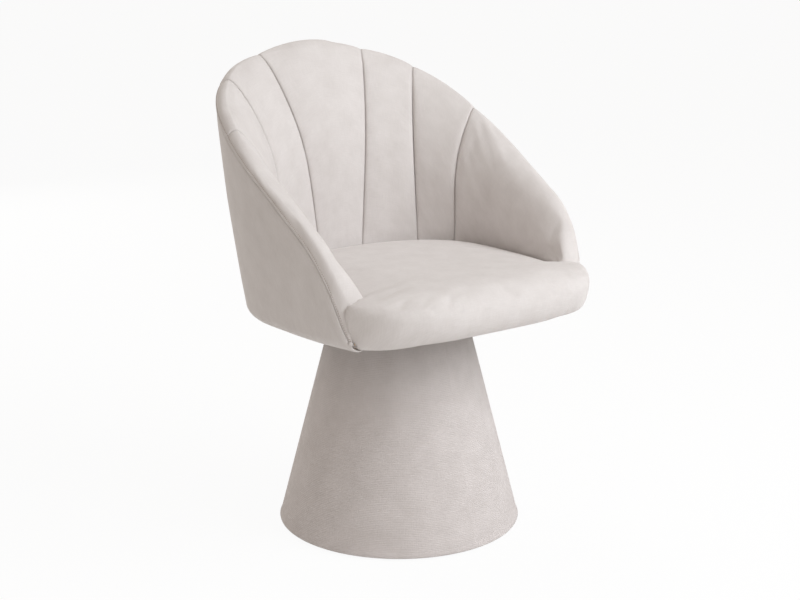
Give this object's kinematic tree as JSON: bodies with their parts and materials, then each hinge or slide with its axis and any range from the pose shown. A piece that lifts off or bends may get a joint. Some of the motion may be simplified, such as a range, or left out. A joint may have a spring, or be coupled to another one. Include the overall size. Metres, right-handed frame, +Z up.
{
  "type": "pedestal swivel armchair",
  "caption": "Channel-backed upholstered tub armchair that turns on a fabric-covered cone pedestal.",
  "frame": {"origin": "on the floor at the swivel axis, the centre of the cone's foot", "axes": "+Z up along the swivel axis, the chair faces -Y, +X is the sitter's left"},
  "size_m": [0.5466, 0.5576, 0.8115],
  "materials": {
    "velvet": "short pile, pale blush grey",
    "base_velvet": "short pile over a ribbed ground, pale blush grey",
    "foam": "open-cell upholstery foam",
    "wadding": "white polyester wadding",
    "plywood": "raw birch plywood",
    "steel": "zinc plated",
    "dark_steel": "black powder coat",
    "underside_cloth": "black non-woven cloth",
    "glide_plastic": "matt"
  },
  "bodies": {
    "base": {"floor_glides": "glide_plastic", "glide_nails": "steel", "base_underlay": "underside_cloth", "base_bottom_board": "plywood", "ballast_plate": "dark_steel", "rib_side": "plywood", "rib_front_back": "plywood", "rib_screws_lower": "steel", "rib_screws_upper": "steel", "base_top_board": "plywood", "base_drum": "plywood", "base_wadding": "wadding", "base_cover": "base_velvet", "swivel_lower_plate": "dark_steel", "swivel_kingpin": "steel", "lower_bolts": "steel", "lower_tee_nuts": "steel"},
    "ball_cage": {"ball_cage": "steel", "bearing_balls": "steel"},
    "seat": {"swivel_upper_plate": "dark_steel", "upper_bolts": "steel", "upper_tee_nuts": "steel", "seat_board": "plywood", "shell_screws": "steel", "shell_blocks": "plywood", "tub_shell": "plywood", "tub_foam": "foam", "outer_cover": "velvet", "channel_pad_centre": "velvet", "channel_pad_right_inner": "velvet", "channel_pad_right_outer": "velvet", "arm_pad_right": "velvet", "channel_pad_left_inner": "velvet", "channel_pad_left_outer": "velvet", "arm_pad_left": "velvet", "seat_foam": "foam", "seat_cover": "velvet", "seat_underside_cloth": "underside_cloth"}
  },
  "joints": [
    {"name": "seat_swivel", "type": "hinge", "parent": "base", "child": "seat", "pos_m": [0, 0, 0.374], "axis": [0, 0, 1], "continuous": true},
    {"name": "cage_spin", "type": "hinge", "parent": "base", "child": "ball_cage", "pos_m": [0, 0, 0.374], "axis": [0, 0, 1], "continuous": true}
  ],
  "couplings": [
    {"joint": "cage_spin", "follows": "seat_swivel", "ratio": 0.5}
  ]
}
